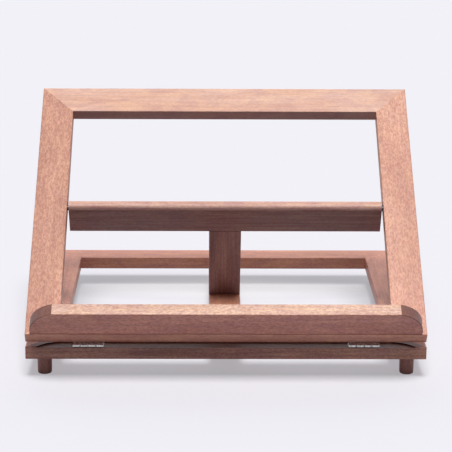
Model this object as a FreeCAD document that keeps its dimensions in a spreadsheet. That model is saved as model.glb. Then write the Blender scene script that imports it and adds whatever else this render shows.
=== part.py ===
import FreeCAD, Part
import math
import os
import re

import Sketcher

# A folding tabletop reading stand. An easel frame with a ledge is hinged at the front of a flat base
# frame on four feet, and a T-shaped prop pivoted between the easel's stiles stands in a notched rack.
#
# Model frame: +X right, +Y back, +Z up, the origin on the table under the middle of the whole stand.
# Easel frame: its y runs up the slope and its z out of the front, from the hinge axis.
# Prop frame: its y runs from the pivot to the foot and its z is the thickness, towards the back.

SIZES = [
    ("frame_width", 400, "width of the base and of the easel"),
    ("stock_width", 34, "width of the wooden members"),
    ("stock_thick", 13.5, "thickness of the wooden members"),
    ("arris_radius", 0.8, "rounding of the members' long edges"),
    ("easel_length", 330, "length of the easel, up its slope"),
    ("rest_tilt", 36.66, "slope of the easel in the first notch, degrees"),
    ("base_depth", 346, "depth of the base frame"),
    ("back_rail_width", 32, "width of the base's back rail"),
    ("foot_height", 20, "height of the feet"),
    ("foot_radius", 7.5, "radius of a foot under the base"),
    ("foot_tip_radius", 7.1, "radius of a foot at the table"),
    ("foot_rounding", 1.5, "rounding of a foot's lower edge"),
    ("foot_inset", 17.5, "distance of a foot's centre from the base's edges"),
    ("recess_depth", 1.5, "depth of the hinge recess in the front rail"),
    ("recess_width", 15, "width of the hinge recess, from the front"),
    ("recess_inset", 39, "distance from the side at which the recess is full"),
    ("cutter_radius", 33, "radius of the recess's two swept ends"),
    ("rack_thick", 9.5, "thickness of the rack board"),
    ("notch_pitch", 22, "distance from notch to notch"),
    ("notch_count", 5, "number of notches in the rack"),
    ("notch_depth", 4.6, "depth of the prop's front edge in its notch"),
    ("notch_clearance", 0.3, "gap round the prop's foot in its notch"),
    ("ledge_inset", 5, "distance from the easel's side to the ledge's end"),
    ("ledge_thick", 12.9, "thickness of the ledge"),
    ("ledge_rise", 0.6, "height of the ledge's underside above the easel's lower edge"),
    ("ledge_reach", 33.2, "how far the ledge stands out of the easel"),
    ("ledge_corner", 31, "radius of the ledge's front corners"),
    ("ledge_overrun", 0.9, "how far the corners' arcs would pass the ledge's front"),
    ("pivot_height", 166.15, "distance of the pivot from the easel's lower edge"),
    ("prop_lean", 8.6, "lean of the prop from square to the easel, degrees"),
    ("crossbar_width", 34.6, "width of the prop's crossbar"),
    ("crossbar_gap", 1.5, "gap between the crossbar and each stile"),
    ("pivot_radius", 1.7, "radius of the pivot pins"),
    ("pivot_in_stile", 10, "length of a pivot pin in its stile"),
    ("pivot_in_crossbar", 8, "length of a pivot pin in the crossbar"),
    ("pivot_clearance", 0.05, "radial clearance of the pivot pins"),
    ("washer_radius", 2.9, "radius of the pivots' washers"),
    ("washer_thick", 1.2, "thickness of the pivots' washers"),
    ("hinge_side", 62.5, "distance of a hinge's middle from the side"),
    ("hinge_inset", 1.6, "distance of the hinge axis from the base's front"),
    ("edge_gap", 4.28, "distance from the hinge axis to the easel's edge"),
    ("knuckle_length", 7, "length of a hinge knuckle"),
    ("knuckle_gap", 0.9, "gap between two knuckles"),
    ("barrel_radius", 1.65, "outer radius of the knuckles"),
    ("leaf_thick", 0.75, "thickness of the hinge leaves"),
    ("leaf_width", 12, "width of a leaf, from the hinge axis"),
    ("leaf_clearance", 0.25, "gap between a leaf and the other leaf's knuckles"),
    ("hinge_clearance", 0.05, "radial clearance of the hinge pins"),
    ("screw_offset", 9, "distance of a screw from the hinge's middle"),
    ("screw_reach", 8.3, "distance of the screws from the hinge axis"),
    ("screw_radius", 0.9, "radius of a screw's shank"),
    ("screw_length", 8, "length of a screw"),
    ("head_radius", 1.8, "radius of a screw's head"),
    ("head_depth", 0.6, "depth of a screw's countersunk head"),
    ("screw_clearance", 0.03, "clearance round a screw"),
    ("slot_width", 0.5, "width of the cross slots in a screw's head"),
    ("slot_depth", 0.35, "depth of the cross slots in a screw's head"),
]

SIDES = (("left", -1), ("right", 1))

# Places and sizes that follow from the sheet, as expressions.
HALF_WIDTH = "frame_width / 2"
INNER_HALF = "(frame_width / 2 - stock_width)"
BASE_TOP = "(foot_height + stock_thick)"
RECESS_FLOOR = f"({BASE_TOP} - recess_depth)"
HINGE_Z = f"({RECESS_FLOOR} + barrel_radius)"
LEDGE_FRONT = "(hinge_inset + edge_gap * cos(rest_tilt) - (stock_thick + ledge_reach) * sin(rest_tilt))"
MIDDLE_Y = f"(({LEDGE_FRONT} + base_depth) / 2)"
EASEL_TOP = "(edge_gap + easel_length)"
PIVOT_S = "(edge_gap + pivot_height)"
PIVOT_N = "(stock_thick / 2)"
PIVOT_Y = f"(hinge_inset + {PIVOT_S} * cos(rest_tilt) - {PIVOT_N} * sin(rest_tilt))"
PIVOT_Z = f"({HINGE_Z} + {PIVOT_S} * sin(rest_tilt) + {PIVOT_N} * cos(rest_tilt))"
PROP_ANGLE = "(rest_tilt - 90 - prop_lean)"
FOOT_EDGE_Z = "(foot_height + rack_thick - notch_depth)"
PROP_REACH = f"(({PIVOT_Z} - {FOOT_EDGE_Z} - {PIVOT_N} * cos({PROP_ANGLE})) / -sin({PROP_ANGLE}))"
CROSSBAR_HALF = f"({INNER_HALF} - crossbar_gap)"
HINGE_X = "(frame_width / 2 - hinge_side)"
HINGE_LENGTH = "(4 * knuckle_length + 3 * knuckle_gap)"
KNUCKLE_STEP = "(knuckle_length + knuckle_gap)"
BORE_RADIUS = "(barrel_radius - leaf_thick)"
PIN_RADIUS = f"({BORE_RADIUS} - hinge_clearance)"
HOLE_RADIUS = "(screw_radius + screw_clearance)"
PILOT_DEPTH = "(screw_length - leaf_thick + screw_clearance)"

# Where a sketch's points start, before its constraints move them.
FIRST_GUESS = 100

doc = FreeCAD.newDocument("ReadingStand")
sheet = doc.addObject("Spreadsheet::Sheet", "Sizes")
for row, (alias, size, meaning) in enumerate(SIZES, start=1):
    sheet.set(f"A{row}", meaning)
    sheet.set(f"B{row}", str(size))
    sheet.setAlias(f"B{row}", alias)
doc.recompute()

nodes = []


def bind(thing, prop, expression):
    """Bind a property to an expression in the sheet's names, all of which hold an underscore."""
    thing.setExpression(prop, re.sub(r"[a-z]+(?:_[a-z]+)+", r"Sizes.\g<0>", str(expression)))


def place(thing, x=0, y=0, z=0, angle=0):
    """Put an object at a point, turned about its own X."""
    bind(
        thing,
        "Placement",
        f"create(<<placement>>; create(<<vector>>; {x}; {y}; {z});"
        f" create(<<rotation>>; create(<<vector>>; 1; 0; 0); {angle}))",
    )


def node(thing, label):
    """Name an object that is written out as a piece of the stand."""
    thing.Label = label
    nodes.append(thing)


def on_base(thing, x=0, y=0, z=0):
    """Put an object in the base's frame, whose y starts at the base's front face."""
    place(thing, x, f"{y} - {MIDDLE_Y}", z)


def on_easel(thing, x=0, s=0, n=0, turn=0):
    """Put an object in the easel's frame, s up the slope and n out of its front."""
    place(
        thing,
        x,
        f"hinge_inset + {s} * cos(rest_tilt) - {n} * sin(rest_tilt) - {MIDDLE_Y}",
        f"{HINGE_Z} + {s} * sin(rest_tilt) + {n} * cos(rest_tilt)",
        f"rest_tilt + {turn}",
    )


def on_prop(thing):
    """Put an object in the prop's frame, whose origin is the pivot."""
    place(thing, 0, f"{PIVOT_Y} - {MIDDLE_Y}", PIVOT_Z, PROP_ANGLE)


# Sketches and the features made from them.


def new_body(label):
    """Start a body that is a piece of the stand."""
    body = doc.addObject("PartDesign::Body", label)
    node(body, label)
    return body


def new_sketch(body, name, role="XY_Plane", lift=0):
    """Start a sketch on one of the body's own planes, lifted along the plane's normal."""
    sketch = body.newObject("Sketcher::SketchObject", f"{body.Name}_{name}")
    plane = next(feature for feature in body.Origin.OriginFeatures if feature.Role == role)
    sketch.AttachmentSupport = [(plane, "")]
    sketch.MapMode = "FlatFace"
    bind(sketch, "AttachmentOffset.Base.z", lift)
    return sketch


def fix_point(sketch, geometry, point, x, y, start):
    """Tie a point of the sketch to a place given by two expressions."""
    for kind, expression, first in (("DistanceX", x, start.x), ("DistanceY", y, start.y)):
        index = sketch.addConstraint(Sketcher.Constraint(kind, -1, 1, geometry, point, first))
        bind(sketch, f"Constraints[{index}]", expression)


def outline(sketch, corners):
    """Draw a closed outline through corners given as pairs of expressions."""
    count = len(corners)
    turns = [2 * math.pi * index / count for index in range(count)]
    starts = [FreeCAD.Vector(math.cos(turn), math.sin(turn), 0) * FIRST_GUESS for turn in turns]
    for index in range(count):
        sketch.addGeometry(Part.LineSegment(starts[index], starts[(index + 1) % count]), False)
    for index in range(count):
        sketch.addConstraint(Sketcher.Constraint("Coincident", index, 2, (index + 1) % count, 1))
    for index, (x, y) in enumerate(corners):
        fix_point(sketch, index, 1, x, y, starts[index])
    return sketch


def circles(sketch, rounds):
    """Draw circles given by expressions for their centres and radii."""
    for index, (x, y, radius) in enumerate(rounds):
        start = FreeCAD.Vector(FIRST_GUESS * index, 0, 0)
        sketch.addGeometry(Part.Circle(start, FreeCAD.Vector(0, 0, 1), 1), False)
        fix_point(sketch, index, 3, x, y, start)
        size = sketch.addConstraint(Sketcher.Constraint("Radius", index, 1))
        bind(sketch, f"Constraints[{size}]", radius)
    return sketch


def pad(body, sketch, length):
    """Raise a sketch into a solid."""
    feature = body.newObject("PartDesign::Pad", f"{sketch.Name}_pad")
    feature.Profile = sketch
    bind(feature, "Length", length)
    doc.recompute()
    return feature


def pocket(body, sketch, depth, along_normal=False):
    """Cut a sketch into the solid, against its plane's normal or along it, and check that it cuts."""
    before = body.Shape.Volume
    feature = body.newObject("PartDesign::Pocket", f"{sketch.Name}_pocket")
    feature.Profile = sketch
    feature.Reversed = along_normal
    bind(feature, "Length", depth)
    doc.recompute()
    if body.Shape.Volume >= before:
        raise RuntimeError(f"{feature.Name} cuts nothing")
    return feature


def round_edges(body, name, radius, wanted):
    """Round those edges of the body that a test picks."""
    base = body.Tip
    edges = [f"Edge{index}" for index, edge in enumerate(base.Shape.Edges, start=1) if wanted(edge)]
    if not edges:
        raise RuntimeError(f"{body.Name} has no edges for its {name}")
    feature = body.newObject("PartDesign::Fillet", f"{body.Name}_{name}")
    feature.Base = (base, edges)
    bind(feature, "Radius", radius)
    doc.recompute()
    return feature


ALONG_X = FreeCAD.Vector(1, 0, 0)
ALONG_Y = FreeCAD.Vector(0, 1, 0)

# Two places are one below this distance.
TOUCHING = 1e-6


def runs_along(axis):
    """Make a test for straight edges parallel to an axis, in the body's own frame."""

    def wanted(edge):
        direction = (edge.Vertexes[-1].Point - edge.Vertexes[0].Point).normalize()
        return direction.cross(axis).Length < TOUCHING

    return wanted


def same(first, second):
    """Whether two lengths are equal."""
    return abs(first - second) < TOUCHING


def member(label, corners, thickness, axis, lift=0):
    """A flat wooden member: an outline raised to its thickness, with its long edges rounded."""
    body = new_body(label)
    pad(body, outline(new_sketch(body, "outline", lift=lift), corners), thickness)
    round_edges(body, "arris", "arris_radius", runs_along(axis))
    return body


def pilot_holes(y):
    """The four screw holes of the two hinges, at one y."""
    return [
        (f"{side} * {HINGE_X} + {end} * screw_offset", y, HOLE_RADIUS)
        for _, side in SIDES
        for _, end in SIDES
    ]


# The base frame, mitred at its corners.


def base_front_rail():
    """The front rail, with the shallow recess for the hinges swept out at both ends."""
    rail = member(
        "base_front_rail",
        [
            (f"-{HALF_WIDTH}", "0"),
            (HALF_WIDTH, "0"),
            (INNER_HALF, "stock_width"),
            (f"-{INNER_HALF}", "stock_width"),
        ],
        "stock_thick",
        ALONG_X,
    )
    full = "(frame_width / 2 - recess_inset)"
    centre_y = "(recess_width - cutter_radius)"
    straight = outline(
        new_sketch(rail, "recess", lift="stock_thick"),
        [
            (f"-{full}", "-stock_width"),
            (full, "-stock_width"),
            (full, "recess_width"),
            (f"-{full}", "recess_width"),
        ],
    )
    pocket(rail, straight, "recess_depth")
    for name, side in SIDES:
        swept = circles(
            new_sketch(rail, f"recess_{name}", lift="stock_thick"),
            [(f"{side} * {full}", centre_y, "cutter_radius")],
        )
        pocket(rail, swept, "recess_depth")
    holes = circles(
        new_sketch(rail, "pilot_holes", lift="stock_thick - recess_depth"),
        pilot_holes("hinge_inset + screw_reach"),
    )
    pocket(rail, holes, PILOT_DEPTH)
    on_base(rail, z="foot_height")


def base_back_rail():
    """The back rail."""
    front = "base_depth - back_rail_width"
    rail = member(
        "base_back_rail",
        [
            (f"-{INNER_HALF}", front),
            (INNER_HALF, front),
            (HALF_WIDTH, "base_depth"),
            (f"-{HALF_WIDTH}", "base_depth"),
        ],
        "stock_thick",
        ALONG_X,
    )
    on_base(rail, z="foot_height")


def base_side_rail(name, side):
    """A side rail."""
    rail = member(
        f"base_{name}_rail",
        [
            (f"{side} * {HALF_WIDTH}", "0"),
            (f"{side} * {HALF_WIDTH}", "base_depth"),
            (f"{side} * {INNER_HALF}", "base_depth - back_rail_width"),
            (f"{side} * {INNER_HALF}", "stock_width"),
        ],
        "stock_thick",
        ALONG_Y,
    )
    on_base(rail, z="foot_height")


def rack_board():
    """The board between the front and back rails, with saw-tooth notches for the prop's foot."""
    half = "stock_width / 2"
    back = "base_depth - back_rail_width"
    board = member(
        "rack_board",
        [(f"-{half}", "stock_width"), (half, "stock_width"), (half, back), (f"-{half}", back)],
        "rack_thick",
        ALONG_Y,
    )
    reach = f"({PROP_REACH} + notch_clearance)"
    front = "(stock_thick / 2 + notch_clearance)"
    along_y = f"cos({PROP_ANGLE})"
    along_z = f"sin({PROP_ANGLE})"
    root_y = f"{PIVOT_Y} + {reach} * {along_y} + {front} * {along_z}"
    root_z = f"{PIVOT_Z} + {reach} * {along_z} - {front} * {along_y} - foot_height"
    notch = outline(
        new_sketch(board, "notch", "YZ_Plane", lift=f"-{half}"),
        [
            (root_y, root_z),
            (f"{root_y} - rack_thick * {along_y}", f"{root_z} - rack_thick * {along_z}"),
            (f"{root_y} - 2 * rack_thick * {along_z}", f"{root_z} + 2 * rack_thick * {along_y}"),
        ],
    )
    first = pocket(board, notch, "stock_width", along_normal=True)
    pattern = board.newObject("PartDesign::LinearPattern", "rack_board_notches")
    pattern.Originals = [first]
    y_axis = next(feature for feature in board.Origin.OriginFeatures if feature.Role == "Y_Axis")
    pattern.Direction = (y_axis, [""])
    bind(pattern, "Length", "notch_pitch * (notch_count - 1)")
    bind(pattern, "Occurrences", "notch_count")
    board.Tip = pattern
    on_base(board, z="foot_height")


def foot(label, x, y):
    """A turned foot, rounded where it meets the table."""
    body = new_body(label)
    profile = outline(
        new_sketch(body, "profile", "XZ_Plane"),
        [("0", "0"), ("foot_tip_radius", "0"), ("foot_radius", "foot_height"), ("0", "foot_height")],
    )
    turned = body.newObject("PartDesign::Revolution", f"{label}_turned")
    turned.Profile = profile
    turned.ReferenceAxis = (profile, ["V_Axis"])
    turned.Angle = 360
    doc.recompute()
    round_edges(
        body,
        "rounding",
        "foot_rounding",
        lambda edge: edge.Closed and abs(edge.CenterOfMass.z) < edge.Length / 1000,
    )
    on_base(body, x, y)


# The easel frame, mitred at its corners, with the ledge on its front.


def easel_stile(name, side):
    """A stile, with the blind hole that holds its pivot pin."""
    stile = member(
        f"easel_{name}_stile",
        [
            (f"{side} * {HALF_WIDTH}", "edge_gap"),
            (f"{side} * {HALF_WIDTH}", EASEL_TOP),
            (f"{side} * {INNER_HALF}", f"{EASEL_TOP} - stock_width"),
            (f"{side} * {INNER_HALF}", "edge_gap + stock_width"),
        ],
        "stock_thick",
        ALONG_Y,
    )
    hole = circles(
        new_sketch(stile, "pivot_hole", "YZ_Plane", lift=f"{side} * {INNER_HALF}"),
        [(PIVOT_S, PIVOT_N, "pivot_radius + screw_clearance")],
    )
    pocket(stile, hole, "pivot_in_stile + screw_clearance", along_normal=side > 0)
    on_easel(stile)


def easel_top_rail():
    """The top rail."""
    inner = f"{EASEL_TOP} - stock_width"
    rail = member(
        "easel_top_rail",
        [
            (f"-{INNER_HALF}", inner),
            (INNER_HALF, inner),
            (HALF_WIDTH, EASEL_TOP),
            (f"-{HALF_WIDTH}", EASEL_TOP),
        ],
        "stock_thick",
        ALONG_X,
    )
    on_easel(rail)


def easel_bottom_rail():
    """The bottom rail, with the hinge screws' holes in its back."""
    inner = "edge_gap + stock_width"
    rail = member(
        "easel_bottom_rail",
        [
            (f"-{HALF_WIDTH}", "edge_gap"),
            (HALF_WIDTH, "edge_gap"),
            (INNER_HALF, inner),
            (f"-{INNER_HALF}", inner),
        ],
        "stock_thick",
        ALONG_X,
    )
    holes = circles(new_sketch(rail, "pilot_holes"), pilot_holes("screw_reach"))
    pocket(rail, holes, PILOT_DEPTH, along_normal=True)
    on_easel(rail)


def ledge():
    """The ledge across the easel's foot, its front cut a little into the arcs of its corners."""
    half = "(frame_width / 2 - ledge_inset)"
    bottom = "edge_gap + ledge_rise"
    top = f"{bottom} + ledge_thick"
    body = new_body("ledge")
    shelf = outline(
        new_sketch(body, "outline", lift="stock_thick"),
        [(f"-{half}", bottom), (half, bottom), (half, top), (f"-{half}", top)],
    )
    pad(body, shelf, "ledge_reach + ledge_overrun")
    box = body.Shape.BoundBox

    def is_corner(edge):
        middle = edge.CenterOfMass
        return same(middle.z, box.ZMax) and same(abs(middle.x), box.XMax)

    round_edges(body, "corners", "ledge_corner", is_corner)
    front = outline(
        new_sketch(body, "front", lift="stock_thick + ledge_reach"),
        [(f"-{half}", "0"), (half, "0"), (half, EASEL_TOP), (f"-{half}", EASEL_TOP)],
    )
    pocket(body, front, "ledge_overrun", along_normal=True)

    round_edges(body, "arris", "arris_radius", lambda edge: same(edge.BoundBox.YLength, 0))
    on_easel(body)


# The T-shaped prop and the pivots that it swings on.


def prop_crossbar():
    """The prop's crossbar, its top rounded over about the pivot, with a bore at each end."""
    top = "-stock_thick / 2"
    bottom = "crossbar_width - stock_thick / 2"
    body = new_body("prop_crossbar")
    bar = outline(
        new_sketch(body, "outline", lift="-stock_thick / 2"),
        [
            (f"-{CROSSBAR_HALF}", top),
            (CROSSBAR_HALF, top),
            (CROSSBAR_HALF, bottom),
            (f"-{CROSSBAR_HALF}", bottom),
        ],
    )
    pad(body, bar, "stock_thick")
    box = body.Shape.BoundBox

    def long_edges_at(y):
        return lambda edge: same(edge.CenterOfMass.y, y) and same(abs(edge.CenterOfMass.z), box.ZMax)

    round_edges(body, "rounding", "stock_thick / 2 - arris_radius / 2", long_edges_at(box.YMin))
    round_edges(body, "arris", "arris_radius", long_edges_at(box.YMax))
    for name, side in SIDES:
        bore = circles(
            new_sketch(body, f"bore_{name}", "YZ_Plane", lift=f"{side} * {CROSSBAR_HALF}"),
            [("0", "0", "pivot_radius + pivot_clearance")],
        )
        pocket(body, bore, "pivot_in_crossbar + screw_clearance", along_normal=side < 0)
    on_prop(body)


def prop_post():
    """The prop's post, from the crossbar down to the foot."""
    half = "stock_width / 2"
    top = "crossbar_width - stock_thick / 2"
    post = member(
        "prop_post",
        [(f"-{half}", top), (half, top), (half, PROP_REACH), (f"-{half}", PROP_REACH)],
        "stock_thick",
        ALONG_Y,
        lift="-stock_thick / 2",
    )
    on_prop(post)


# Round metal parts.


def round_bar(label, x_from, length, radius, bore=0):
    """A bar or ring along X about the frame's own X axis."""
    body = new_body(label)
    rings = [("0", "0", radius)]
    if bore:
        rings.append(("0", "0", bore))
    pad(body, circles(new_sketch(body, "section", "YZ_Plane", lift=x_from), rings), length)
    return body


def pivot(name, side):
    """A pin fixed in the stile and running in the crossbar, with its washer against the stile."""
    length = "(pivot_in_stile + crossbar_gap + pivot_in_crossbar)"
    outer = f"({INNER_HALF} + pivot_in_stile)"
    pin_from = f"({outer} - {length})" if side > 0 else f"-{outer}"
    washer_from = f"({INNER_HALF} - washer_thick)" if side > 0 else f"-{INNER_HALF}"
    pin = round_bar(f"pivot_pin_{name}", pin_from, length, "pivot_radius")
    on_easel(pin, 0, PIVOT_S, PIVOT_N)
    washer = round_bar(
        f"pivot_washer_{name}",
        washer_from,
        "washer_thick",
        "washer_radius",
        "(pivot_radius + pivot_clearance)",
    )
    on_easel(washer, 0, PIVOT_S, PIVOT_N)


def hinge_pin(name, side):
    """The pin of a hinge, as long as its barrel."""
    pin = round_bar(f"hinge_pin_{name}", f"-{HINGE_LENGTH} / 2", HINGE_LENGTH, PIN_RADIUS)
    on_base(pin, f"{side} * {HINGE_X}", "hinge_inset", HINGE_Z)


# Hinge leaves and screws, from solids and booleans.


def box(name, low, size):
    """A box from its lowest corner."""
    shape = doc.addObject("Part::Box", name)
    for prop, length in zip(("Length", "Width", "Height"), size):
        bind(shape, prop, length)
    place(shape, *low)
    return shape


def cylinder(name, radius, length, centre, axis="0; 0; 1", turn=0):
    """A cylinder that starts at a point, turned from the Z direction about an axis."""
    shape = doc.addObject("Part::Cylinder", name)
    bind(shape, "Radius", radius)
    bind(shape, "Height", length)
    x, y, z = centre
    bind(
        shape,
        "Placement",
        f"create(<<placement>>; create(<<vector>>; {x}; {y}; {z});"
        f" create(<<rotation>>; create(<<vector>>; {axis}); {turn}))",
    )
    return shape


def cone(name, low_radius, high_radius, length, low):
    """A cone that stands on a point."""
    shape = doc.addObject("Part::Cone", name)
    bind(shape, "Radius1", low_radius)
    bind(shape, "Radius2", high_radius)
    bind(shape, "Height", length)
    place(shape, *low)
    return shape


def fuse(name, shapes):
    """Join solids into one."""
    joined = doc.addObject("Part::MultiFuse", name)
    joined.Shapes = shapes
    return joined


def cut(name, base, tool):
    """Cut one solid out of another."""
    shape = doc.addObject("Part::Cut", name)
    shape.Base = base
    shape.Tool = tool
    return shape


def hinge_leaf(label, first_knuckle, plate_z, heads_up):
    """A leaf about the hinge axis: a plate, every other knuckle and two countersunk holes."""
    plate_y = "(barrel_radius + leaf_clearance)"
    half = f"({HINGE_LENGTH} / 2)"
    plate_size = (HINGE_LENGTH, f"leaf_width - {plate_y}", "leaf_thick")
    solids = [box(f"{label}_plate", (f"-{half}", plate_y, plate_z), plate_size)]
    for index in (first_knuckle, first_knuckle + 2):
        start = f"({index} * {KNUCKLE_STEP} - {half})"
        wrap = (start, "0", plate_z)
        solids.append(box(f"{label}_wrap_{index}", wrap, ("knuckle_length", plate_y, "leaf_thick")))
        barrel = cylinder(
            f"{label}_knuckle_{index}", "barrel_radius", "knuckle_length", (start, 0, 0), "0; 1; 0", 90
        )
        solids.append(barrel)
    tools = [cylinder(f"{label}_bore", BORE_RADIUS, HINGE_LENGTH, (f"-{half}", 0, 0), "0; 1; 0", 90)]
    wide = "(head_radius + screw_clearance)"
    sink_z = f"({plate_z} + leaf_thick - head_depth)" if heads_up else plate_z
    radii = (HOLE_RADIUS, wide) if heads_up else (wide, HOLE_RADIUS)
    for name, side in SIDES:
        x = f"{side} * screw_offset"
        tools.append(cylinder(f"{label}_hole_{name}", HOLE_RADIUS, "leaf_thick", (x, "screw_reach", plate_z)))
        tools.append(cone(f"{label}_sink_{name}", *radii, "head_depth", (x, "screw_reach", sink_z)))
    leaf = cut(label, fuse(f"{label}_solids", solids), fuse(f"{label}_cuts", tools))
    node(leaf, label)
    return leaf


def leaf_screws(label):
    """The two screws of a leaf, their heads' tops at z = 0 and their tips down."""
    screws = []
    for name, side in SIDES:
        x = f"{side} * screw_offset"
        start = f"{label}_{name}"
        tip = "2 * screw_radius"
        shank_low = f"({tip} - screw_length)"
        solid = fuse(
            f"{start}_solid",
            [
                cone(f"{start}_head", "screw_radius", "head_radius", "head_depth", (x, 0, "-head_depth")),
                cylinder(f"{start}_shank", "screw_radius", f"-head_depth - {shank_low}", (x, 0, shank_low)),
                cone(f"{start}_tip", "screw_radius / 4", "screw_radius", tip, (x, 0, "-screw_length")),
            ],
        )
        reach = "head_radius"
        slots = fuse(
            f"{start}_slots",
            [
                box(
                    f"{start}_slot_across",
                    (f"{x} - {reach} / 2", "-slot_width / 2", "-slot_depth"),
                    (reach, "slot_width", "slot_depth"),
                ),
                box(
                    f"{start}_slot_along",
                    (f"{x} - slot_width / 2", f"-{reach} / 2", "-slot_depth"),
                    ("slot_width", reach, "slot_depth"),
                ),
            ],
        )
        screws.append(cut(f"{start}_screw", solid, slots))
    pair = doc.addObject("Part::Compound", label)
    pair.Links = screws
    node(pair, label)
    return pair


def hinge(name, side):
    """A butt hinge with its screws, between the front rail's recess and the easel's back."""
    x = f"{side} * {HINGE_X}"
    base_first = 0 if side < 0 else 1
    base_leaf = hinge_leaf(f"hinge_base_leaf_{name}", base_first, "(-barrel_radius)", heads_up=True)
    on_base(base_leaf, x, "hinge_inset", HINGE_Z)
    base_screws = leaf_screws(f"base_leaf_screws_{name}")
    on_base(base_screws, x, "(hinge_inset + screw_reach)", f"{RECESS_FLOOR} + leaf_thick")
    easel_leaf = hinge_leaf(f"hinge_easel_leaf_{name}", 1 - base_first, "(-leaf_thick)", heads_up=False)
    on_easel(easel_leaf, x)
    easel_screws = leaf_screws(f"easel_leaf_screws_{name}")
    on_easel(easel_screws, x, "screw_reach", "(-leaf_thick)", turn=180)
    hinge_pin(name, side)


base_front_rail()
base_back_rail()
rack_board()
easel_top_rail()
easel_bottom_rail()
ledge()
prop_crossbar()
prop_post()
for name, side in SIDES:
    base_side_rail(name, side)
    foot(f"foot_front_{name}", f"{side} * ({HALF_WIDTH} - foot_inset)", "foot_inset")
    foot(f"foot_back_{name}", f"{side} * ({HALF_WIDTH} - foot_inset)", "(base_depth - foot_inset)")
    easel_stile(name, side)
    pivot(name, side)
    hinge(name, side)
doc.recompute()

for thing in doc.Objects:
    if "Invalid" in thing.State or "Error" in thing.State:
        raise RuntimeError(f"{thing.Label} did not recompute: {thing.State}")
for piece in nodes:
    if piece.Shape.isNull() or not piece.Shape.isValid():
        raise RuntimeError(f"{piece.Label} has no valid shape")
os.makedirs("parts", exist_ok=True)
for piece in nodes:
    piece.Shape.exportStep(f"parts/{piece.Label}.step")
print(len(nodes), "pieces")
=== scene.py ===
import math
from collections import namedtuple

import bpy
from mathutils import Matrix, Vector

# The looks of a folding wooden reading stand: stained beech with a satin lacquer, zinc-plated hinges.
# Every piece is a CAD node. Textures are laid in each piece's own grain direction, in metres.

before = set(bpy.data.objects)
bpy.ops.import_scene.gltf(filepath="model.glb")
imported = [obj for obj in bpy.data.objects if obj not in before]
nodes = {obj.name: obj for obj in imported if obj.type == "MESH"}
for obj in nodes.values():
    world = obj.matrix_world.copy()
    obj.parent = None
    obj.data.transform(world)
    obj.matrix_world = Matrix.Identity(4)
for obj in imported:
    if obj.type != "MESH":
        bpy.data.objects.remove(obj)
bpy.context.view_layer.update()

# Camera, in millimetres and degrees: a long lens looking down on the stand from the front.
CAMERA_PLACE = (-20.8, -1816.6, 611.7)
CAMERA_YAW = 0.692
CAMERA_PITCH = 15.331
CAMERA_ROLL = 0.302
CAMERA_LENS = 139.87
SENSOR_WIDTH = 36.0

# A millimetre, and how far the camera sees, both in metres.
MILLIMETRE = 0.001
CAMERA_REACH = 50

# Slopes of the frames and the feet at rest, in degrees from the table.
EASEL_SLOPE = 36.66
PROP_SLOPE = -61.94
FOOT_SLOPE = -90

# Key: a soft lamp almost overhead, leaning a little to the front and the right. Angles are in degrees.
KEY_STRENGTH = 3.1
KEY_SPREAD = 23
KEY_FORWARD = 16
KEY_RIGHT = 1

# World: a weak dome, and a pale backdrop that shines from behind. What is seen of it is even.
DOME_ZENITH = 0.13
DOME_HORIZON = 0.03
BACKDROP_STRENGTH = 1.0
BACKDROP_LIMITS = (0.25, 0.75)
SEEN_STRENGTH = 1.0
BACKGROUND = (0.89, 0.88, 0.93)

# Floor, as seen: its colour, a painted pool of light behind the stand's middle, and how much of it glows by
# itself.
# The painted pool is an oval, much wider across than from front to back. Its middle and limits are in metres.
FLOOR_SIZE = 14.0
FLOOR_COLOR = (0.80, 0.795, 0.84)
PAINTED_LIGHT_POOL = (0.97, 0.965, 1.0)
FLOOR_GLOW = 0.45
PAINTED_POOL_MIDDLE = 0.14
PAINTED_POOL_SQUEEZE = 0.2
PAINTED_POOL_LIMITS = (0.015, 0.045)

# Floor, as it lights the stand: what it throws back near the stand's front and far from it. The middle of
# the near part and the limits between near and far are in metres.
BOUNCE_NEAR = (0.48, 0.50, 0.57)
BOUNCE_FAR = (0.01, 0.01, 0.01)
BOUNCE_MIDDLE = -0.19
BOUNCE_LIMITS = (0.18, 0.42)

# A feature of a texture: how many to the metre along and across the grain, the noise's detail, roughness
# and distortion, and, where a tint follows it, the limits between which the noise turns from low to high.
Feature = namedtuple("Feature", "along across detail roughness distortion limits", defaults=[None])
TONE = Feature(7, 42, 3.0, 0.55, 0.4, (0.30, 0.70))
BLOTCHES = Feature(34, 85, 2.0, 0.6, 0.8, (0.34, 0.66))
STREAKS = Feature(11, 420, 4.0, 0.65, 0.0, (0.32, 0.68))
FLECKS = Feature(270, 620, 2.0, 0.7, 0.5, (0.34, 0.66))
PORES = Feature(330, 2600, 1.0, 0.5, 0.0, (0.60, 0.74))
END_SPOTS = Feature(800, 800, 2.0, 0.5, 0.0, (0.35, 0.65))
CLOUDS = Feature(420, 420, 3.0, 0.6, 0.0, (0.3, 0.7))
BRUSHING = Feature(400, 9000, 2.0, 0.5, 0.0)

# How much a streak or fleck darkens and lightens the wood, what a pore leaves of its tone, and how much of
# all this red takes: less than green and blue, so that dark streaks stay warm.
STREAK_TINT = (-0.15, 0.12)
FLECK_TINT = (-0.14, 0.13)
PORE_TINT = (1.0, 0.84)
RED_SHARE = 0.6

# How squarely a face has to look along the grain to be end grain, and towards its shaded side to take the
# painted shade.
END_LIMITS = (0.10, 0.20)
PAINTED_SHADE_LIMITS = (0.3, 0.9)

# The lacquer's roughness between streaks, and the relief of streaks, flecks and pores.
WOOD_ROUGHNESS = (0.41, 0.53)
WOOD_GLOSS_LIMITS = (0.2, 0.8)
STREAK_RELIEF = 0.6
FLECK_RELIEF = 0.4
PORE_RELIEF = 0.5
WOOD_BUMP = {"Strength": 0.25, "Distance": 0.00015}
LACQUER = {"Specular IOR Level": 0.3, "Coat Weight": 0.08, "Coat Roughness": 0.35}

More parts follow.
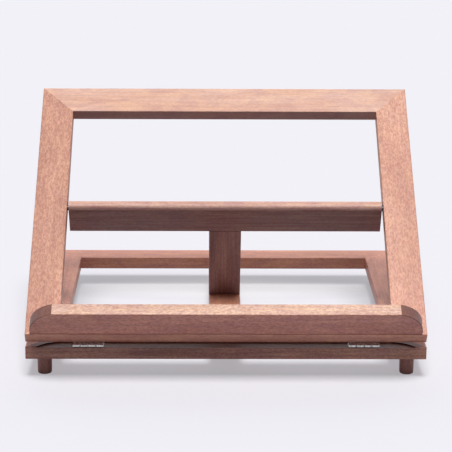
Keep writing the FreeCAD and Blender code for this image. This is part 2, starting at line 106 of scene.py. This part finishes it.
# Metals: their colours, what a stain leaves of them, how the clouds vary the roughness, and the brushing.
ZINC = (0.57, 0.555, 0.545)
WORN_ZINC = (0.58, 0.55, 0.50)
DARK_STEEL = (0.14, 0.14, 0.145)
STAIN = 0.55
STEEL_GLOSS_LIMITS = (0.25, 0.75)
STEEL_GLOSS_SPREAD = (-0.06, 0.08)
BRUSHING_DEPTH = 0.00005

# How far each step of a seed moves a piece through the wood, in metres.
SEED_STEP = (0.37, 0.11, 0.23)

# Tones of the stained beech, each with its light and its dark, in linear light. No two boards look alike.
CREAM = ((0.76, 0.490, 0.370), (0.65, 0.405, 0.300))
HONEY = ((0.77, 0.505, 0.400), (0.71, 0.418, 0.305))
PEACH = ((0.73, 0.390, 0.280), (0.63, 0.315, 0.225))
ROSE = ((0.64, 0.325, 0.222), (0.51, 0.238, 0.162))
CLAY = ((0.71, 0.345, 0.245), (0.60, 0.285, 0.200))
RUST = ((0.77, 0.375, 0.270), (0.65, 0.310, 0.220))
SHELL = ((0.70, 0.430, 0.345), (0.60, 0.355, 0.285))
BROWN = ((0.46, 0.228, 0.165), (0.25, 0.118, 0.090))
DUSK = ((0.66, 0.385, 0.300), (0.46, 0.250, 0.195))
AMBER = ((0.56, 0.265, 0.175), (0.47, 0.215, 0.140))
UMBER = ((0.33, 0.155, 0.115), (0.25, 0.112, 0.085))

# Tints that multiply a tone: in blotches, on end grain, and, as painted shade, on the shaded side of a piece.
GOLD = (1.07, 1.04, 0.97)
PINK = (0.94, 0.87, 0.91)
END_LIGHT = (0.39, 0.30, 0.31)
END_DARK = (0.26, 0.18, 0.195)
# Painted shade: darker tints for the shaded sides of the ledge, the prop, the top rail and the recess in the
# base's front rail.
PAINTED_SHADE_LEDGE = (0.94, 0.66, 0.67)
PAINTED_SHADE_PROP = (0.58, 0.59, 0.67)
PAINTED_SHADE_RAIL = (0.70, 0.72, 0.88)
PAINTED_SHADE_RECESS = (0.62, 0.76, 0.80)

# How a piece is cut from the wood: its slope and grain, how strong its flecks, streaks and blotches are,
# and the painted shade for the side that lies in shade, where it has one. Sides are seen with the piece
# level.
FRONT = (0.0, -1.0, 0.0)
TOP = (0.0, 0.0, 1.0)
UNDERSIDE = (0.0, 0.0, -1.0)
Cut = namedtuple("Cut", "slope along_x mottle streaks blotch deep_side deep")
RAIL = Cut(slope=0.0, along_x=True, mottle=1.0, streaks=1.0, blotch=1.0, deep_side=FRONT, deep=None)
SIDE = RAIL._replace(along_x=False)
EASEL = RAIL._replace(slope=EASEL_SLOPE)
STILE = EASEL._replace(along_x=False, streaks=0.6, blotch=0.6)
PROP = RAIL._replace(slope=PROP_SLOPE, deep_side=UNDERSIDE, deep=PAINTED_SHADE_PROP)
RECESSED = RAIL._replace(deep_side=TOP, deep=PAINTED_SHADE_RECESS)
FOOT = SIDE._replace(slope=FOOT_SLOPE)

# Each wooden piece's seed, tones and cut.
PIECES = {
    "easel_top_rail": (14, HONEY, EASEL._replace(mottle=0.6, streaks=0.7, deep=PAINTED_SHADE_RAIL)),
    "easel_bottom_rail": (16, CLAY, EASEL),
    "easel_left_stile": (32, ROSE, STILE._replace(mottle=2.2)),
    "easel_right_stile": (14, PEACH, STILE._replace(mottle=2.0)),
    "ledge": (14, CREAM, EASEL._replace(mottle=2.0, deep=PAINTED_SHADE_LEDGE)),
    "prop_crossbar": (12, SHELL, PROP._replace(streaks=1.7)),
    "prop_post": (17, DUSK, PROP._replace(along_x=False, streaks=1.5)),
    "base_front_rail": (16, BROWN, RECESSED._replace(streaks=2.0, mottle=1.8)),
    "base_back_rail": (17, RUST, RAIL),
    "base_left_rail": (21, RUST, SIDE),
    "base_right_rail": (19, RUST, SIDE),
    "rack_board": (12, AMBER, SIDE),
    "foot_back_left": (13, UMBER, FOOT),
    "foot_back_right": (14, UMBER, FOOT),
    "foot_front_left": (15, UMBER, FOOT),
    "foot_front_right": (16, UMBER, FOOT),
}


def rgb(color):
    """A colour with full alpha."""
    return (*color, 1.0)


class Tree:
    """A node tree, built by short calls."""

    def __init__(self, tree):
        self.tree = tree
        tree.nodes.clear()

    def add(self, kind, inputs, **settings):
        """Add a node, set its properties and link or set its inputs."""
        node = self.tree.nodes.new(kind)
        for name, value in settings.items():
            setattr(node, name, value)
        for name, value in inputs.items():
            self.feed(node.inputs[name], value)
        return node

    def feed(self, socket, value):
        """Link an input to another node's output, or set it to a value."""
        if isinstance(value, bpy.types.NodeSocket):
            self.tree.links.new(value, socket)
        else:
            socket.default_value = value

    def math(self, operation, first, second=0.0):
        """A sum, product or other operation on two numbers."""
        return self.add("ShaderNodeMath", {0: first, 1: second}, operation=operation).outputs[0]

    def ramp(self, value, limits, results=(0.0, 1.0), curve="SMOOTHSTEP"):
        """A number moved from one pair of limits to another, and held between those."""
        inputs = {
            "Value": value,
            "From Min": limits[0],
            "From Max": limits[1],
            "To Min": results[0],
            "To Max": results[1],
        }
        return self.add("ShaderNodeMapRange", inputs, interpolation_type=curve).outputs["Result"]

    def mix(self, factor, first, second, blend="MIX"):
        """A mix of two colours."""
        node = self.add("ShaderNodeMix", {0: factor}, data_type="RGBA", blend_type=blend)
        colors = [socket for socket in node.inputs if socket.type == "RGBA"]
        for socket, value in zip(colors, (first, second)):
            self.feed(socket, value)
        return next(socket for socket in node.outputs if socket.type == "RGBA")

    def place(self, output="Object"):
        """Where a point lies on its piece, or another output of its texture coordinates."""
        return self.add("ShaderNodeTexCoord", {}).outputs[output]

    def noise(self, coordinates, feature):
        """A noise value in 0 to 1, for coordinates whose X runs along the grain."""
        scale = (feature.along, feature.across, feature.across)
        stretched = self.add("ShaderNodeMapping", {"Vector": coordinates, "Scale": scale})
        inputs = {
            "Vector": stretched.outputs["Vector"],
            "Scale": 1.0,
            "Detail": feature.detail,
            "Roughness": feature.roughness,
            "Distortion": feature.distortion,
        }
        return self.add("ShaderNodeTexNoise", inputs).outputs["Fac"]

    def seen_directly(self):
        """1 for a ray from the camera, a reflection or a refraction, and 0 for any other."""
        rays = self.add("ShaderNodeLightPath", {}).outputs
        seen = self.math("MAXIMUM", rays["Is Camera Ray"], rays["Is Glossy Ray"])
        return self.math("MAXIMUM", seen, rays["Is Transmission Ray"])


class Shader(Tree):
    """A material and its node tree."""

    def __init__(self, name):
        self.material = bpy.data.materials.new(name)
        self.material.use_nodes = True
        super().__init__(self.material.node_tree)

    def finish(self, surface):
        """The material, with its surface shader in place."""
        self.add("ShaderNodeOutputMaterial", {"Surface": surface.outputs[0]})
        return self.material


def level_turn(cut):
    """The turn that lays a sloping piece level."""
    return (-math.radians(cut.slope), 0.0, 0.0)


def grain_coordinates(shader, seed, cut):
    """Coordinates whose X runs along the grain, in a part of the wood that is the piece's own."""
    level = shader.add("ShaderNodeMapping", {"Vector": shader.place(), "Rotation": level_turn(cut)})
    turn = (0.0, 0.0, 0.0 if cut.along_x else math.radians(90))
    shift = [seed * step for step in SEED_STEP]
    inputs = {"Vector": level.outputs["Vector"], "Rotation": turn, "Location": shift}
    return shader.add("ShaderNodeMapping", inputs).outputs["Vector"]


def facing(shader, cut, side):
    """How squarely a face looks towards one side of its piece, laid level: 1 for squarely."""
    inputs = {"Vector": shader.place("Normal"), "Rotation": level_turn(cut)}
    level = shader.add("ShaderNodeMapping", inputs, vector_type="NORMAL")
    inputs = {0: level.outputs["Vector"], 1: side}
    return shader.add("ShaderNodeVectorMath", inputs, operation="DOT_PRODUCT").outputs["Value"]


def strengthened(tint, strength):
    """A darkening and a lightening, made stronger or weaker, as factors round 1."""
    return [1.0 + part * strength for part in tint]


def stained_color(shader, grain, tones, cut):
    """The stain itself: broad light and dark parts, with warm and pink blotches."""
    light, dark = tones
    color = shader.mix(shader.ramp(shader.noise(grain, TONE), TONE.limits), rgb(dark), rgb(light))
    warmth = shader.ramp(shader.noise(grain, BLOTCHES), BLOTCHES.limits)
    return shader.mix(cut.blotch, color, shader.mix(warmth, rgb(PINK), rgb(GOLD)), "MULTIPLY")


def side_tint(shader, streak, fleck, pore, cut):
    """Streaks, flecks and pores as a tint, with painted shade on the piece's shaded side where its cut has
    one.
    """
    streak_tint = shader.ramp(streak, STREAKS.limits, strengthened(STREAK_TINT, cut.streaks))
    fleck_tint = shader.ramp(fleck, FLECKS.limits, strengthened(FLECK_TINT, cut.mottle))
    pore_tint = shader.ramp(pore, PORES.limits, PORE_TINT)
    shade = shader.math("MULTIPLY", shader.math("MULTIPLY", streak_tint, fleck_tint), pore_tint)
    red_shade = shader.math("ADD", shader.math("MULTIPLY", shade, RED_SHARE), 1.0 - RED_SHARE)
    tint = shader.add("ShaderNodeCombineColor", {0: red_shade, 1: shade, 2: shade}).outputs["Color"]
    if cut.deep is None:
        return tint
    # Painted shade: faces that look towards the piece's shaded side take a darker tint of their own.
    painted_shade_face = shader.ramp(facing(shader, cut, cut.deep_side), PAINTED_SHADE_LIMITS)
    return shader.mix(painted_shade_face, tint, shader.mix(1.0, tint, rgb(cut.deep), "MULTIPLY"))


def end_grain(shader, cut):
    """How far a face is end grain, from 0 to 1."""
    grain_axis = (1.0, 0.0, 0.0) if cut.along_x else (0.0, 1.0, 0.0)
    return shader.ramp(shader.math("ABSOLUTE", facing(shader, cut, grain_axis)), END_LIMITS)


def end_tint(shader, grain):
    """The dark, finely spotted tint of end grain, which drinks the stain."""
    spots = shader.ramp(shader.noise(grain, END_SPOTS), END_SPOTS.limits)
    return shader.mix(spots, rgb(END_DARK), rgb(END_LIGHT))


def wood_relief(shader, streak, fleck, pore):
    """The fine relief of the grain under its lacquer."""
    streak_height = shader.math("MULTIPLY", streak, STREAK_RELIEF)
    fleck_height = shader.math("MULTIPLY", fleck, FLECK_RELIEF)
    pore_depth = shader.math("MULTIPLY", shader.ramp(pore, PORES.limits), PORE_RELIEF)
    height = shader.math("SUBTRACT", shader.math("ADD", streak_height, fleck_height), pore_depth)
    return shader.add("ShaderNodeBump", {"Height": height, **WOOD_BUMP}).outputs["Normal"]


def wood(name, seed, tones, cut):
    """Stained beech: broad tone, warm and pink blotches, long streaks, short ray flecks, dark ends, and
    painted shade on a shaded side.
    """
    shader = Shader(name)
    grain = grain_coordinates(shader, seed, cut)
    streak = shader.noise(grain, STREAKS)
    fleck = shader.noise(grain, FLECKS)
    pore = shader.noise(grain, PORES)
    sides = side_tint(shader, streak, fleck, pore, cut)
    tint = shader.mix(end_grain(shader, cut), sides, end_tint(shader, grain))
    inputs = {
        "Base Color": shader.mix(1.0, stained_color(shader, grain, tones, cut), tint, "MULTIPLY"),
        "Roughness": shader.ramp(streak, WOOD_GLOSS_LIMITS, WOOD_ROUGHNESS),
        "Normal": wood_relief(shader, streak, fleck, pore),
        **LACQUER,
    }
    return shader.finish(shader.add("ShaderNodeBsdfPrincipled", inputs))


def steel(name, color, roughness, brushed):
    """Steel: fine brushed lines, small cloudy stains and a soft gloss."""
    shader = Shader(name)
    clouds = shader.noise(shader.place(), CLOUDS)
    stained = [STAIN * part for part in color]
    gloss = [roughness + part for part in STEEL_GLOSS_SPREAD]
    lines = shader.noise(shader.place(), BRUSHING)
    relief = {"Height": lines, "Strength": brushed, "Distance": BRUSHING_DEPTH}
    inputs = {
        "Base Color": shader.mix(shader.ramp(clouds, CLOUDS.limits), rgb(stained), rgb(color)),
        "Metallic": 1.0,
        "Roughness": shader.ramp(clouds, STEEL_GLOSS_LIMITS, gloss),
        "Normal": shader.add("ShaderNodeBump", relief).outputs["Normal"],
    }
    return shader.finish(shader.add("ShaderNodeBsdfPrincipled", inputs))


def dress(name, material):
    """Give a CAD node its material."""
    mesh = nodes[name].data
    mesh.materials.clear()
    mesh.materials.append(material)


def dress_wood():
    """Dress each wooden piece with its own cut of wood, along its own grain."""
    for name, (seed, tones, cut) in PIECES.items():
        dress(name, wood(f"beech_{name}", seed, tones, cut))


def dress_metal():
    """Dress the hinges, screws, pivot pins and washers."""
    plate = steel("zinc_plate", ZINC, roughness=0.22, brushed=0.30)
    screw = steel("zinc_screw", WORN_ZINC, roughness=0.34, brushed=0.10)
    pin = steel("steel_pin", DARK_STEEL, roughness=0.42, brushed=0.10)
    for name in nodes:
        if "screws" in name:
            dress(name, screw)
        elif name.startswith(("hinge_pin", "pivot_")):
            dress(name, pin)
        elif name.startswith("hinge_"):
            dress(name, plate)


def from_middle(shader, middle, squeeze):
    """How far a point of the floor is from a middle on the Y axis, with its X squeezed first."""
    oval = {0: shader.place(), 1: (squeeze, 1.0, 1.0)}
    squeezed = shader.add("ShaderNodeVectorMath", oval, operation="MULTIPLY").outputs["Vector"]
    inputs = {0: squeezed, 1: (0.0, middle, 0.0)}
    return shader.add("ShaderNodeVectorMath", inputs, operation="DISTANCE").outputs["Value"]


def floor_paper_and_painted_pool():
    """Pale paper with a painted pool of light behind the stand's middle, a little overexposed as it is seen,
    which throws back less light than it seems to.
    """
    shader = Shader("floor_paper_and_painted_pool")
    seen = shader.seen_directly()
    away = shader.ramp(from_middle(shader, BOUNCE_MIDDLE, 1.0), BOUNCE_LIMITS)
    bounce = shader.mix(away, rgb(BOUNCE_NEAR), rgb(BOUNCE_FAR))
    # Painted light: a paler pool painted on the floor behind the stand's middle, both where it is seen and
    # where it glows.
    outside_painted_pool = shader.ramp(from_middle(shader, PAINTED_POOL_MIDDLE, PAINTED_POOL_SQUEEZE), PAINTED_POOL_LIMITS)
    paper_and_painted_pool = shader.mix(outside_painted_pool, rgb(PAINTED_LIGHT_POOL), rgb(FLOOR_COLOR))
    lit = shader.add("ShaderNodeBsdfDiffuse", {"Color": shader.mix(seen, bounce, paper_and_painted_pool)})
    glow = shader.add("ShaderNodeEmission", {"Color": paper_and_painted_pool})
    share = shader.math("MULTIPLY", seen, FLOOR_GLOW)
    return shader.finish(shader.add("ShaderNodeMixShader", {0: share, 1: lit.outputs[0], 2: glow.outputs[0]}))


def make_floor():
    """A wide pale floor that keeps the stand's soft shadow."""
    half = FLOOR_SIZE / 2
    corners = [(-half, -half, 0), (half, -half, 0), (half, half, 0), (-half, half, 0)]
    mesh = bpy.data.meshes.new("floor")
    mesh.from_pydata(corners, [], [(0, 1, 2, 3)])
    mesh.materials.append(floor_paper_and_painted_pool())
    floor = bpy.data.objects.new("floor", mesh)
    bpy.context.scene.collection.objects.link(floor)


def make_key():
    """The key: a broad soft lamp almost overhead."""
    lamp = bpy.data.lights.new("key", "SUN")
    lamp.energy = KEY_STRENGTH
    lamp.angle = math.radians(KEY_SPREAD)
    key = bpy.data.objects.new("key", lamp)
    key.rotation_euler = (math.radians(KEY_FORWARD), math.radians(KEY_RIGHT), 0.0)
    bpy.context.scene.collection.objects.link(key)


def make_world():
    """The weak dome and the backdrop, which are seen as one even background."""
    world = bpy.data.worlds.new("studio")
    bpy.context.scene.world = world
    world.use_nodes = True
    sky = Tree(world.node_tree)
    direction = sky.add("ShaderNodeSeparateXYZ", {"Vector": sky.place("Generated")}).outputs
    dome = sky.ramp(direction["Z"], (0.0, 1.0), (DOME_HORIZON, DOME_ZENITH), curve="LINEAR")
    light = sky.ramp(direction["Y"], BACKDROP_LIMITS, (dome, BACKDROP_STRENGTH))
    strength = sky.ramp(sky.seen_directly(), (0.0, 1.0), (light, SEEN_STRENGTH), curve="LINEAR")
    background = sky.add("ShaderNodeBackground", {"Color": rgb(BACKGROUND), "Strength": strength})
    sky.add("ShaderNodeOutputWorld", {"Surface": background.outputs[0]})


def make_camera():
    """The camera, at the photograph's place and angle."""
    data = bpy.data.cameras.new("camera")
    data.lens = CAMERA_LENS
    data.sensor_width = SENSOR_WIDTH
    data.clip_end = CAMERA_REACH
    camera = bpy.data.objects.new("camera", data)
    camera.matrix_world = (
        Matrix.Translation(Vector(CAMERA_PLACE) * MILLIMETRE)
        @ Matrix.Rotation(-math.radians(CAMERA_YAW), 4, "Z")
        @ Matrix.Rotation(math.radians(90 - CAMERA_PITCH), 4, "X")
        @ Matrix.Rotation(math.radians(CAMERA_ROLL), 4, "Z")
    )
    bpy.context.scene.collection.objects.link(camera)
    bpy.context.scene.camera = camera


dress_wood()
dress_metal()
make_floor()
make_key()
make_world()
make_camera()
bpy.context.scene.view_settings.view_transform = "Standard"
